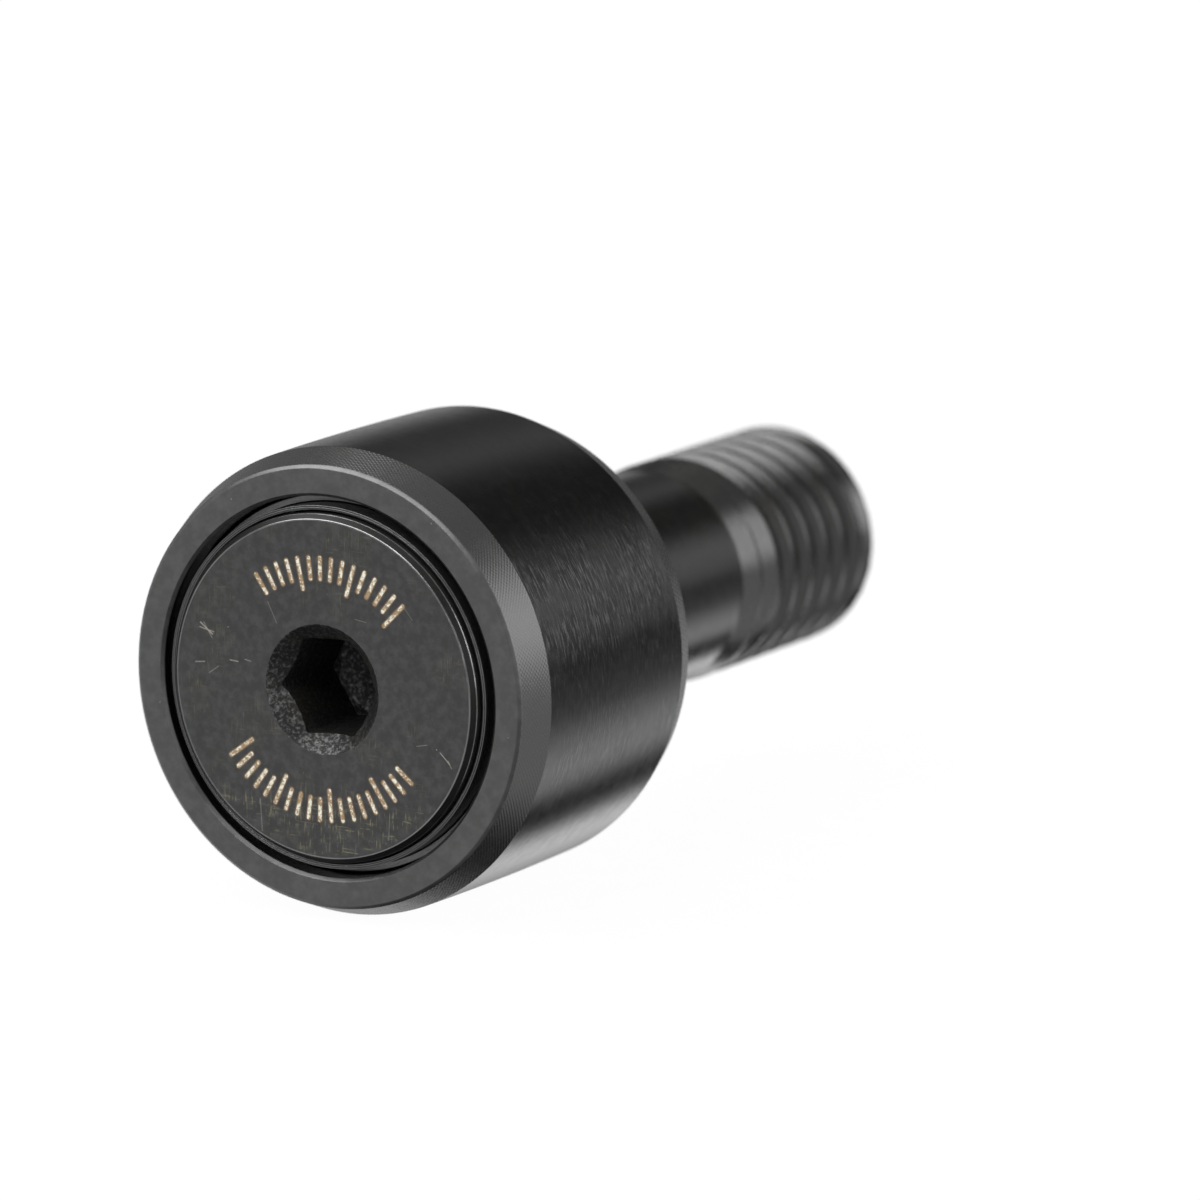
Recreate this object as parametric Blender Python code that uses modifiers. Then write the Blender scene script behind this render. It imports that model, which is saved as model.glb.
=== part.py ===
"""Stud-type cam follower: a crowned roller on a full complement of needles,
carried by a flanged stud with a hex socket and a threaded end.

Frame: origin at the centre of the stud's flat threaded end, +Y along the stud
axis and out of that end, +Z up. The roller is therefore at negative Y, and its
flanged face looks towards -Y. Units are metres.

Every piece is drawn in the follower's own axes: local Z is the stud axis
(towards the thread), zero at the middle of the roller. One empty turns those
axes into the part's frame. "Front" is the flange side, "rear" the thread side.
"""
import math

import bmesh
import bpy
from mathutils import Matrix

MM = 0.001

# ---- dimensions: a FACE, START or END is a distance from the roller's middle
# Roller
ROLLER_DIAMETER = 15.875 * MM          # 5/8 in
ROLLER_WIDTH = 11.1125 * MM            # 7/16 in
ROLLER_FACE = ROLLER_WIDTH / 2         # flat side face
CROWN_RADIUS = 203.2 * MM              # 8 in
CROWN_ROWS = 3                         # rows from the crown's edge to its middle
ROLLER_FACE_R = 7.342 * MM             # outer edge of the side face
RELIEF_LENGTH = 1.26 * MM              # side face to the edge of the crown
RELIEF_EDGE_R = 7.465 * MM             # small end of the tapered relief
RELIEF_EDGE_DROP = 0.10 * MM
COUNTERBORE_R = 6.42 * MM
COUNTERBORE_EDGE = 0.11 * MM
COUNTERBORE_FLOOR = 4.0 * MM
OUTER_RACEWAY_R = 5.715 * MM

# Needles
INNER_RACEWAY_R = 4.1275 * MM
NEEDLE_COUNT = 19
NEEDLE_CLEARANCE = 0.028 * MM          # off the needle's radius
NEEDLE_PITCH_R = (INNER_RACEWAY_R + OUTER_RACEWAY_R) / 2
NEEDLE_R = (OUTER_RACEWAY_R - INNER_RACEWAY_R) / 2 - NEEDLE_CLEARANCE
NEEDLE_LENGTH = 7.72 * MM
NEEDLE_END_ROUND = 0.16 * MM

# Stud flange and rear end plate
FLANGE_R = 5.88 * MM                   # outside of both
FLANGE_CHAMFER = 0.19 * MM
FLANGE_INNER_FACE = 4.63 * MM          # the plate's inner face matches it
FLANGE_FACE = ROLLER_FACE + 0.25 * MM
PLATE_FACE = ROLLER_FACE + 0.397 * MM  # stands out 1/64 in
PLATE_BORE_R = 4.05 * MM
PLATE_BORE_CHAMFER = 0.08 * MM

# Seal discs
SEAL_OUTER_R = 6.385 * MM
SEAL_BORE_R = 4.22 * MM
SEAL_INNER_FACE = 4.03 * MM
SEAL_OUTER_FACE = 4.60 * MM
SEAL_LIP_IN_R = 5.93 * MM
SEAL_LIP_OUT_R = 6.09 * MM
SEAL_LIP_FACE = ROLLER_FACE - 0.066 * MM
SEAL_LIP_CHAMFER = 0.05 * MM

# Stud
SHANK_R = 7.9375 * MM / 2              # 5/16 in heavy stud
STUD_LENGTH = 19.05 * MM               # 3/4 in, from the end plate's face
STUD_END = PLATE_FACE + STUD_LENGTH
RACEWAY_END = FLANGE_INNER_FACE - 0.03 * MM
RACEWAY_CHAMFER = 0.12 * MM
PLATE_SEAT_R = 4.02 * MM
PLATE_SEAT_END = FLANGE_INNER_FACE + 1.25 * MM
SHANK_START = FLANGE_INNER_FACE + 1.4 * MM
SHANK_END = 10.4 * MM
SHANK_CHAMFER = 0.2 * MM
NECK_R = 3.75 * MM

# Thread
THREAD_START = 15.75 * MM              # foot of the lead-in cone
THREAD_FULL = 16.85 * MM               # lead-in cone reaches the major radius
THREAD_MAJOR_R = 3.93 * MM
THREAD_DEPTH = 0.66 * MM
THREAD_ROOT_R = THREAD_MAJOR_R - THREAD_DEPTH
THREAD_PITCH = 1.20 * MM
THREAD_CREST = 0.30 * MM               # flat on the crest, along the axis
THREAD_ROOT = 0.22 * MM                # flat at the root, along the axis
THREAD_PHASE = 16.90 * MM              # a crest's middle at +X, before THREAD_TURN
THREAD_TURNS = 11                      # of the untrimmed rod
THREAD_APEX_PITCHES = 1.2              # the rod's end cones reach this far, in pitches
NECK_TAPER_START = THREAD_START + 0.55 * MM
NECK_TAPER_END = 18.9 * MM             # grooves reach full depth here
NOSE_LENGTH = 0.5 * MM                 # end of the neck, buried in the thread
NOSE_INSET = 0.25 * MM
THREAD_TAIL = 0.90 * MM                # grooves shallow out over this much at the end
TAIL_NOSE = 0.35 * MM                  # the tail's core starts this much earlier
TAIL_OVERRUN = 0.40 * MM               # and runs this far past the stud's end
ENVELOPE_MARGIN = 0.15 * MM            # the trimming body's cones overrun by this radius
END_CHAMFER = 0.05 * MM

# Socket, sunk from the flange face; depths are from that face
HEX_ACROSS_FLATS = 3.175 * MM          # 1/8 in key
HEX_INNER_R = HEX_ACROSS_FLATS / 2
HEX_CORNER_R = HEX_ACROSS_FLATS / math.sqrt(3)
HEX_DEPTH = 3.6 * MM
HEX_TURN = math.radians(-2.3)          # about local Z
COUNTERSINK_R = 2.19 * MM
COUNTERSINK_DEPTH = 0.62 * MM
COUNTERSINK_FLOOR_R = HEX_INNER_R * 0.98
DRILL_R = HEX_INNER_R * 0.95           # cone below the hex
DRILL_TIP_R = 0.02 * MM
DRILL_START = HEX_DEPTH - 0.1 * MM
DRILL_DEPTH = HEX_DEPTH + 0.8 * MM
DRILL_TURN = math.radians(3)
TOOL_CLEARANCE = 0.5 * MM              # cutters stand out of the face by this much

# ---- mesh resolution -------------------------------------------------------
RING_STEPS = 64
STUD_STEPS = 40
NEEDLE_STEPS = 12
NEEDLE_ROUND_SEGMENTS = 2
COUNTERSINK_STEPS = 36
DRILL_STEPS = 24
MERGE_DISTANCE = 1e-7
LEVEL_TOLERANCE = 1e-9                 # ends of an edge at the same height
SHARP_ANGLE = math.radians(32)

# Turns in facets that keep edges of the bodies being joined from coinciding
THREAD_TURN = 0.5
TAIL_TURN = 0.19
ENVELOPE_TURN = 0.37


# ---- scene -----------------------------------------------------------------
def clear_scene():
    for obj in list(bpy.data.objects):
        bpy.data.objects.remove(obj, do_unlink=True)
    for blocks in (bpy.data.meshes, bpy.data.materials, bpy.data.curves):
        for block in list(blocks):
            blocks.remove(block)


def new_collection(name):
    group = bpy.data.collections.new(name)
    bpy.context.scene.collection.children.link(group)
    return group


def new_object(name, group, data):
    obj = bpy.data.objects.new(name, data)
    group.objects.link(obj)
    return obj


# ---- materials -------------------------------------------------------------
def new_material(name, colour, metallic, roughness):
    material = bpy.data.materials.new(name)
    material.use_nodes = True
    inputs = material.node_tree.nodes["Principled BSDF"].inputs
    inputs["Base Color"].default_value = (*colour, 1.0)
    inputs["Metallic"].default_value = metallic
    inputs["Roughness"].default_value = roughness
    material.diffuse_color = (*colour, 1.0)
    return material


def stud_steel():
    return new_material("black_oxide_steel", colour=(0.030, 0.030, 0.032),
                        metallic=0.9, roughness=0.38)


def ring_steel():
    return new_material("black_oxide_ring", colour=(0.024, 0.024, 0.026),
                        metallic=0.9, roughness=0.32)


def needle_steel():
    return new_material("ground_needle_steel", colour=(0.60, 0.60, 0.61),
                        metallic=1.0, roughness=0.18)


def seal_polymer():
    return new_material("black_seal_polymer", colour=(0.012, 0.012, 0.012),
                        metallic=0.0, roughness=0.35)


# ---- modelling helpers -----------------------------------------------------
def mesh_from(shape, name):
    """A new mesh from a bmesh, which is freed."""
    mesh = bpy.data.meshes.new(name)
    shape.to_mesh(mesh)
    shape.free()
    return mesh


def bake(obj):
    """Replace obj by a plain object of the same name with its modifiers applied."""
    depsgraph = bpy.context.evaluated_depsgraph_get()
    mesh = bpy.data.meshes.new_from_object(obj.evaluated_get(depsgraph))
    name = obj.name
    group = obj.users_collection[0]
    source = obj.data
    bpy.data.objects.remove(obj, do_unlink=True)
    bpy.data.meshes.remove(source)
    mesh.name = name
    return new_object(name, group, mesh)


def turned(name, group, points, steps, closed=False, rise=0.0, turns=1):
    """Sweep a polyline of (radius, z) points about Z, rising by rise each turn."""
    edges = [(i, i + 1) for i in range(len(points) - 1)]
    if closed:
        edges.append((len(points) - 1, 0))
    mesh = bpy.data.meshes.new(name)
    mesh.from_pydata([(radius, 0.0, z) for radius, z in points], edges, [])
    obj = new_object(name, group, mesh)

    screw = obj.modifiers.new("Screw", "SCREW")
    screw.axis = "Z"
    screw.angle = 2 * math.pi
    screw.steps = steps
    screw.render_steps = steps
    screw.screw_offset = rise
    screw.iterations = turns
    screw.use_merge_vertices = True
    screw.merge_threshold = MERGE_DISTANCE
    return bake(obj)


def facets(count):
    """Angle of a number of the stud's facets."""
    return count * 2 * math.pi / STUD_STEPS


def add_boolean(obj, other, operation):
    boolean = obj.modifiers.new("Boolean", "BOOLEAN")
    boolean.operation = operation
    boolean.solver = "EXACT"
    boolean.object = other


def combine(obj, other, operation):
    """Bake a boolean of the two objects and remove the second."""
    add_boolean(obj, other, operation)
    result = bake(obj)
    bpy.data.objects.remove(other, do_unlink=True)
    return result


def smooth(mesh):
    mesh.shade_smooth()
    mesh.set_sharp_from_angle(angle=SHARP_ANGLE)


def finish_piece(obj, material, parent):
    """Clean a baked piece's mesh, shade it, and hang it on its parent."""
    mesh = obj.data
    shape = bmesh.new()
    shape.from_mesh(mesh)
    bmesh.ops.remove_doubles(shape, verts=shape.verts, dist=MERGE_DISTANCE)
    bmesh.ops.dissolve_degenerate(shape, dist=MERGE_DISTANCE, edges=shape.edges)
    shape.to_mesh(mesh)
    shape.free()
    smooth(mesh)
    mesh.materials.clear()  # the booleans may leave an empty slot
    mesh.materials.append(material)
    obj.parent = parent


# ---- profiles: lists of (radius, z) ----------------------------------------
def mirrored(points):
    """The profile on the other side of the roller's middle, in reverse order."""
    return [(radius, -z) for radius, z in reversed(points)]


def crown_radius_at(z):
    """Radius of the crowned rolling face at a distance z from the middle."""
    drop = CROWN_RADIUS - math.sqrt(CROWN_RADIUS**2 - z * z)
    return ROLLER_DIAMETER / 2 - drop


def ring_profile():
    crown_edge = ROLLER_FACE - RELIEF_LENGTH
    # rear side face down to the middle
    outer = [
        (ROLLER_FACE_R, ROLLER_FACE),
        (RELIEF_EDGE_R, ROLLER_FACE - RELIEF_EDGE_DROP),
    ]
    for i in range(CROWN_ROWS + 1):
        z = crown_edge * (1 - i / CROWN_ROWS)
        outer.append((crown_radius_at(z), z))
    # front side face up to the raceway
    inner = [
        (COUNTERBORE_R + COUNTERBORE_EDGE, -ROLLER_FACE),
        (COUNTERBORE_R, -ROLLER_FACE + COUNTERBORE_EDGE),
        (COUNTERBORE_R, -COUNTERBORE_FLOOR),
        (OUTER_RACEWAY_R, -COUNTERBORE_FLOOR),
    ]
    return outer + mirrored(outer[:-1]) + inner + mirrored(inner)


def seal_profile():
    """Flat disc with a raised lip, drawn for the rear side."""
    return [
        (SEAL_LIP_IN_R, SEAL_LIP_FACE),
        (SEAL_LIP_OUT_R - SEAL_LIP_CHAMFER, SEAL_LIP_FACE),
        (SEAL_LIP_OUT_R, SEAL_LIP_FACE - SEAL_LIP_CHAMFER),
        (SEAL_LIP_OUT_R, SEAL_OUTER_FACE),
        (SEAL_OUTER_R, SEAL_OUTER_FACE),
        (SEAL_OUTER_R, SEAL_INNER_FACE),
        (SEAL_BORE_R, SEAL_INNER_FACE),
        (SEAL_BORE_R, SEAL_OUTER_FACE),
        (SEAL_LIP_IN_R, SEAL_OUTER_FACE),
    ]


def plate_profile():
    return [
        (PLATE_BORE_R + PLATE_BORE_CHAMFER, PLATE_FACE),
        (FLANGE_R - FLANGE_CHAMFER, PLATE_FACE),
        (FLANGE_R, PLATE_FACE - FLANGE_CHAMFER),
        (FLANGE_R, FLANGE_INNER_FACE),
        (PLATE_BORE_R, FLANGE_INNER_FACE),
        (PLATE_BORE_R, PLATE_FACE - PLATE_BORE_CHAMFER),
    ]


def stud_blank_profile():
    """Stud from the buried nose of the neck down to the flange face."""
    return [
        (0.0, NECK_TAPER_END + NOSE_LENGTH),
        (THREAD_ROOT_R - NOSE_INSET, NECK_TAPER_END + NOSE_LENGTH),
        (THREAD_ROOT_R, NECK_TAPER_END),
        (NECK_R, NECK_TAPER_START),
        (NECK_R, SHANK_END + SHANK_CHAMFER),
        (SHANK_R, SHANK_END),
        (SHANK_R, SHANK_START),
        (PLATE_SEAT_R, PLATE_SEAT_END),
        (PLATE_SEAT_R, RACEWAY_END),
        (INNER_RACEWAY_R - RACEWAY_CHAMFER, RACEWAY_END),
        (INNER_RACEWAY_R, RACEWAY_END - RACEWAY_CHAMFER),
        (INNER_RACEWAY_R, -FLANGE_INNER_FACE),
        (FLANGE_R, -FLANGE_INNER_FACE),
        (FLANGE_R, -FLANGE_FACE + FLANGE_CHAMFER),
        (FLANGE_R - FLANGE_CHAMFER, -FLANGE_FACE),
        (0.0, -FLANGE_FACE),
    ]


def thread_envelope_profile():
    """Trims the thread's two ends: lead-in cone and end chamfer."""
    slope = (THREAD_MAJOR_R - NECK_R) / (THREAD_FULL - THREAD_START)
    overrun = ENVELOPE_MARGIN / slope
    outside = THREAD_MAJOR_R + ENVELOPE_MARGIN
    return [
        (0.0, STUD_END),
        (THREAD_MAJOR_R - END_CHAMFER, STUD_END),
        (outside, STUD_END - END_CHAMFER - ENVELOPE_MARGIN),
        (outside, THREAD_FULL + overrun),
        (NECK_R - ENVELOPE_MARGIN, THREAD_START - overrun),
        (0.0, THREAD_START - overrun),
    ]


def thread_tail_profile():
    """Core that fills the last grooves, so the end rim stays round."""
    start = STUD_END - THREAD_TAIL
    slope = THREAD_DEPTH / THREAD_TAIL
    return [
        (0.0, STUD_END + TAIL_OVERRUN),
        (THREAD_MAJOR_R + slope * TAIL_OVERRUN, STUD_END + TAIL_OVERRUN),
        (THREAD_ROOT_R - slope * TAIL_NOSE, start - TAIL_NOSE),
        (0.0, start - TAIL_NOSE),
    ]


def thread_pitch_profile(top):
    """One pitch of the thread, downwards, starting on a crest."""
    flank = (THREAD_PITCH - THREAD_CREST - THREAD_ROOT) / 2
    return [
        (THREAD_MAJOR_R, top),
        (THREAD_MAJOR_R, top - THREAD_CREST),
        (THREAD_ROOT_R, top - THREAD_CREST - flank),
        (THREAD_ROOT_R, top - THREAD_CREST - flank - THREAD_ROOT),
        (THREAD_MAJOR_R, top - THREAD_PITCH),
    ]


# ---- stud ------------------------------------------------------------------
def make_thread_rod(group):
    """Helical rod, longer than the thread, closed by a cone at both ends."""
    top = THREAD_PHASE + THREAD_CREST / 2 - 2 * THREAD_PITCH
    rod = turned("thread_rod", group, thread_pitch_profile(top), STUD_STEPS,
                 rise=THREAD_PITCH, turns=THREAD_TURNS)
    shape = bmesh.new()
    shape.from_mesh(rod.data)
    bmesh.ops.remove_doubles(shape, verts=shape.verts, dist=MERGE_DISTANCE)
    border = [edge for edge in shape.edges if edge.is_boundary]
    low = top - (1 + THREAD_APEX_PITCHES) * THREAD_PITCH
    high = top + (THREAD_TURNS + THREAD_APEX_PITCHES) * THREAD_PITCH
    middle = (low + high) / 2
    for z, side in ((low, -1), (high, 1)):
        apex = shape.verts.new((0.0, 0.0, z))
        for edge in border:
            if (edge.verts[0].co.z - middle) * side > 0:
                shape.faces.new((apex, edge.verts[0], edge.verts[1]))
    bmesh.ops.recalc_face_normals(shape, faces=shape.faces)
    bmesh.ops.rotate(shape, verts=shape.verts,
                     matrix=Matrix.Rotation(facets(THREAD_TURN), 3, "Z"))
    shape.to_mesh(rod.data)
    shape.free()
    return rod


def make_thread(group):
    """The rod with its last grooves filled, trimmed to length."""
    thread = make_thread_rod(group)
    for name, points, turn, operation in (
            ("thread_tail", thread_tail_profile(), TAIL_TURN, "UNION"),
            ("thread_envelope", thread_envelope_profile(), ENVELOPE_TURN, "INTERSECT")):
        body = turned(name, group, points, STUD_STEPS)
        body.data.transform(Matrix.Rotation(facets(turn), 4, "Z"))
        thread = combine(thread, body, operation)
    return thread


def make_socket_tool(name, group, sides, radii, depths, turn):
    """Hidden cone or prism; radii and depths are (outer end, inner end)."""
    start, end = (depth - FLANGE_FACE for depth in depths)
    shape = bmesh.new()
    bmesh.ops.create_cone(shape, cap_ends=True, cap_tris=False, segments=sides,
                          radius1=radii[0], radius2=radii[1], depth=end - start)
    # a quarter turn brings the first corner from +Y to +X
    bmesh.ops.rotate(shape, verts=shape.verts,
                     matrix=Matrix.Rotation(turn - math.pi / 2, 3, "Z"))
    bmesh.ops.translate(shape, verts=shape.verts, vec=(0, 0, (start + end) / 2))
    tool = new_object(name, group, mesh_from(shape, name))
    tool.hide_render = True
    tool.display_type = "WIRE"
    return tool


def make_socket_tools(group):
    # the countersink's cone carried on out of the face
    flare = (COUNTERSINK_R - HEX_INNER_R) * TOOL_CLEARANCE / COUNTERSINK_DEPTH
    return [
        make_socket_tool("socket_hex", group, sides=6,
                         radii=(HEX_CORNER_R, HEX_CORNER_R),
                         depths=(-TOOL_CLEARANCE, HEX_DEPTH), turn=HEX_TURN),
        make_socket_tool("socket_countersink", group, sides=COUNTERSINK_STEPS,
                         radii=(COUNTERSINK_R + flare, COUNTERSINK_FLOOR_R),
                         depths=(-TOOL_CLEARANCE, COUNTERSINK_DEPTH), turn=0.0),
        make_socket_tool("socket_drill", group, sides=DRILL_STEPS,
                         radii=(DRILL_R, DRILL_TIP_R),
                         depths=(DRILL_START, DRILL_DEPTH), turn=DRILL_TURN),
    ]


def make_stud(parts, cutters, material, parent):
    thread = make_thread(cutters)
    stud = turned("stud", parts, stud_blank_profile(), STUD_STEPS)
    stud = combine(stud, thread, "UNION")
    tools = make_socket_tools(cutters)
    for tool in tools:
        add_boolean(stud, tool, "DIFFERENCE")
    stud = bake(stud)
    finish_piece(stud, material, parent)
    # only now, because the parent moves the tools off the unparented stud
    for tool in tools:
        tool.parent = parent


# ---- roller, plate, seals and needles --------------------------------------
def make_ring(group, material, parent):
    ring = turned("outer_ring", group, ring_profile(), RING_STEPS, closed=True)
    finish_piece(ring, material, parent)


def make_end_plate(group, material, parent):
    plate = turned("rear_end_plate", group, plate_profile(), STUD_STEPS, closed=True)
    finish_piece(plate, material, parent)


def make_seals(group, material, parent):
    rear = seal_profile()
    for name, points in (("rear_seal_disc", rear), ("front_seal_disc", mirrored(rear))):
        seal = turned(name, group, points, STUD_STEPS, closed=True)
        finish_piece(seal, material, parent)


def make_needles(group, material, parent):
    """One needle mesh, used by every needle around the raceway."""
    shape = bmesh.new()
    bmesh.ops.create_cone(shape, cap_ends=True, cap_tris=False, segments=NEEDLE_STEPS,
                          radius1=NEEDLE_R, radius2=NEEDLE_R, depth=NEEDLE_LENGTH)
    rims = [edge for edge in shape.edges
            if abs(edge.verts[0].co.z - edge.verts[1].co.z) < LEVEL_TOLERANCE]
    bmesh.ops.bevel(shape, geom=rims, offset=NEEDLE_END_ROUND,
                    segments=NEEDLE_ROUND_SEGMENTS, profile=0.5, affect="EDGES")
    mesh = mesh_from(shape, "needle")
    mesh.materials.append(material)
    smooth(mesh)
    for i in range(NEEDLE_COUNT):
        angle = 2 * math.pi * i / NEEDLE_COUNT
        needle = new_object(f"needle_roller_{i + 1:02d}", group, mesh)
        needle.location = (NEEDLE_PITCH_R * math.cos(angle),
                           NEEDLE_PITCH_R * math.sin(angle), 0.0)
        needle.rotation_euler = (0.0, 0.0, angle)
        needle.parent = parent


def make_axis(group):
    """Empty at the roller's middle, its local Z along the part's +Y."""
    axis = new_object("follower_axis", group, None)
    axis.location = (0.0, -STUD_END, 0.0)
    axis.rotation_euler = (-math.pi / 2, 0.0, 0.0)
    return axis


def main():
    clear_scene()
    parts = new_collection("cam_follower")
    cutters = new_collection("cutters")
    steel = stud_steel()
    axis = make_axis(parts)
    make_stud(parts, cutters, steel, axis)
    make_ring(parts, ring_steel(), axis)
    make_end_plate(parts, steel, axis)
    make_seals(parts, seal_polymer(), axis)
    make_needles(parts, needle_steel(), axis)


main()
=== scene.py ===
import math

import bpy
import numpy as np
from mathutils import Matrix, Vector


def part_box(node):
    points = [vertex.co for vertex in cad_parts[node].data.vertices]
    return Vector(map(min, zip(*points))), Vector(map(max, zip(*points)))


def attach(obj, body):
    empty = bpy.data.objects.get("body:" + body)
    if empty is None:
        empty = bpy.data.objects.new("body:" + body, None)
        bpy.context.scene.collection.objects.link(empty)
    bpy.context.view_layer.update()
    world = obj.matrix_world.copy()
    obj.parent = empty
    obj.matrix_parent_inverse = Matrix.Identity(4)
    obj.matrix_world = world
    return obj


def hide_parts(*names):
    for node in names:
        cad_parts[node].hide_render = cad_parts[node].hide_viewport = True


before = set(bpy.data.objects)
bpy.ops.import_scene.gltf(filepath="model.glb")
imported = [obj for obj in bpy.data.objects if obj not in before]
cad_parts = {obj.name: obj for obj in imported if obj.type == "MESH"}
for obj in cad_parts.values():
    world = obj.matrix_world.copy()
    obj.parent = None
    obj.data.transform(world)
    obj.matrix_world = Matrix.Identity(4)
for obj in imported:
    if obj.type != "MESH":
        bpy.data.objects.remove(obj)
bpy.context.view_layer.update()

MM = 0.001
MID_Y = -25.00325          # middle of the roller on the stud axis, mm
STEPS = 360                # facets round every large turned surface

# ---- section sizes, mm, along the axis from the middle of the roller -------
HALF = 5.55625
PLATE_FACE = HALF + 0.397
FLANGE_FACE = HALF + 0.25
STUD_END = HALF + 0.397 + 19.05
CROWN = 203.2
RELIEF_EDGE = HALF - 1.26
THREAD_MAJOR = 3.93
THREAD_DEPTH = 0.66
PITCH = 1.20
THREAD_TAIL = 0.90
END_BREAK = 0.05
THREAD_PHASE = 16.90
NECK = 3.75
CONE_FOOT = 15.75
CONE_TOP = 16.85
HEX_HALF = 3.175 / 2
HEX_DEPTH = 3.6
HEX_TURN = math.radians(-2.3)
SINK_R = 2.19
SINK_DEPTH = 0.62


# ---- meshes ----------------------------------------------------------------
def mesh_from_grid(name, grids, flip=False, close_rows=False, angle=40.0, wrap=None):
    """A closed mesh from rows of points, (rows, columns, 3) in mm in the row frame.

    wrap gives, for each row, the row whose first column follows its last column."""
    P = np.asarray(grids, float)
    rows, cols = P.shape[:2]
    flat = P.reshape(-1, 3)
    key = np.round(flat / 2e-6).astype(np.int64)
    _, first, inverse = np.unique(key, axis=0, return_index=True, return_inverse=True)
    inverse = inverse.reshape(-1)
    verts = flat[first]
    i = np.arange(rows if close_rows else rows - 1)
    j = np.arange(cols)
    I, J = np.meshgrid(i, j, indexing="ij")
    I2, J2 = (I + 1) % rows, (J + 1) % cols
    row = np.arange(rows) if wrap is None else np.asarray(wrap)
    turn = J2 < J
    W, W2 = np.where(turn, row[I], I), np.where(turn, row[I2], I2)
    quad = np.stack([I * cols + J, I2 * cols + J, W2 * cols + J2, W * cols + J2], -1)
    quad = inverse[quad.reshape(-1, 4)]
    if flip:
        quad = quad[:, ::-1]
    faces = []
    same = quad == np.roll(quad, -1, axis=1)
    count = same.sum(1)
    cross = (quad[:, 0] == quad[:, 2]) | (quad[:, 1] == quad[:, 3])
    for f in quad[(count == 0) & ~cross].tolist():
        faces.append(f)
    for f, s in zip(quad[(count == 1) & ~cross].tolist(), same[(count == 1) & ~cross].tolist()):
        k = s.index(True)
        faces.append([f[m] for m in range(4) if m != k])
    return finish_mesh(name, verts * MM, faces, angle)


def finish_mesh(name, verts, faces, angle=40.0):
    """Mesh data with normals weighted by face area, split where faces meet at more than the angle."""
    mesh = bpy.data.meshes.new(name)
    mesh.from_pydata(verts.tolist(), [], faces)
    mesh.update()
    mesh.validate()
    nf, nl = len(mesh.polygons), len(mesh.loops)
    normal = np.zeros(nf * 3)
    mesh.polygons.foreach_get("normal", normal)
    normal = normal.reshape(-1, 3)
    area = np.zeros(nf)
    mesh.polygons.foreach_get("area", area)
    total = np.zeros(nf, int)
    mesh.polygons.foreach_get("loop_total", total)
    vert = np.zeros(nl, int)
    mesh.loops.foreach_get("vertex_index", vert)
    face = np.repeat(np.arange(nf), total)
    order = np.argsort(vert, kind="stable")
    sv, sf = vert[order], face[order]
    start = np.r_[0, np.flatnonzero(np.diff(sv)) + 1]
    size = np.diff(np.r_[start, nl])
    out = np.zeros((nl, 3))
    limit = math.cos(math.radians(angle))
    for n in np.unique(size):
        s = start[size == n]
        idx = s[:, None] + np.arange(n)
        f = sf[idx]
        fn, fa = normal[f], area[f]
        if n > 12:
            m = (fn * fa[..., None]).sum(1, keepdims=True)
            acc = np.broadcast_to(m, fn.shape).copy()
        else:
            close = np.einsum("vik,vjk->vij", fn, fn) > limit
            acc = np.einsum("vij,vj,vjk->vik", close.astype(float), fa, fn)
        acc /= np.maximum(np.linalg.norm(acc, axis=-1, keepdims=True), 1e-20)
        out[order[idx]] = acc
    mesh.shade_smooth()
    mesh.normals_split_custom_set(out.astype(np.float32))
    return mesh


def rounded(points, closed=False, step=14.0):
    """(r, a, fillet) corners to a polyline with real fillets."""
    n = len(points)
    out = []
    for k, (r, a, f) in enumerate(points):
        if f <= 0 or (not closed and k in (0, n - 1)):
            out.append((r, a))
            continue
        p = np.array([r, a])
        q = np.array(points[k - 1][:2]) - p
        s = np.array(points[(k + 1) % n][:2]) - p
        lq, ls = np.linalg.norm(q), np.linalg.norm(s)
        q, s = q / lq, s / ls
        turn = math.pi - math.acos(max(-1, min(1, float(q @ s))))
        if turn < 1e-3:
            out.append((r, a))
            continue
        cut = min(f * math.tan(turn / 2), 0.45 * lq, 0.45 * ls)
        f2 = cut / math.tan(turn / 2)
        bis = q + s
        bis /= np.linalg.norm(bis)
        c = p + bis * f2 / math.cos(turn / 2)
        e0, e1 = p + q * cut - c, p + s * cut - c
        a0, a1 = math.atan2(e0[1], e0[0]), math.atan2(e1[1], e1[0])
        d = (a1 - a0 + math.pi) % (2 * math.pi) - math.pi
        m = max(2, int(math.ceil(abs(math.degrees(d)) / step)))
        for i in range(m + 1):
            w = a0 + d * i / m
            out.append((c[0] + f2 * math.cos(w), c[1] + f2 * math.sin(w)))
    return out


def turned_mesh(name, profile, steps=STEPS, close_rows=False, angle=40.0, wobble=None):
    t = 2 * np.pi * np.arange(steps) / steps
    ra = np.array(profile, float)
    r = np.repeat(ra[:, 0:1], steps, 1)
    a = np.repeat(ra[:, 1:2], steps, 1)
    if wobble is not None:
        r, a = wobble(r, a, t[None, :])
    P = np.stack([r * np.cos(t), a + MID_Y, r * np.sin(t)], -1)
    return mesh_from_grid(name, P, False, close_rows, angle)


def piece(name, mesh, body, material, slot, *nodes):
    ob = bpy.data.objects.new(name, mesh)
    bpy.context.scene.collection.objects.link(ob)
    mesh.materials.clear()
    for m in (material if isinstance(material, (list, tuple)) else [material]):
        mesh.materials.append(m)
    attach(ob, body)
    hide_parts(*nodes)
    return ob


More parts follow.
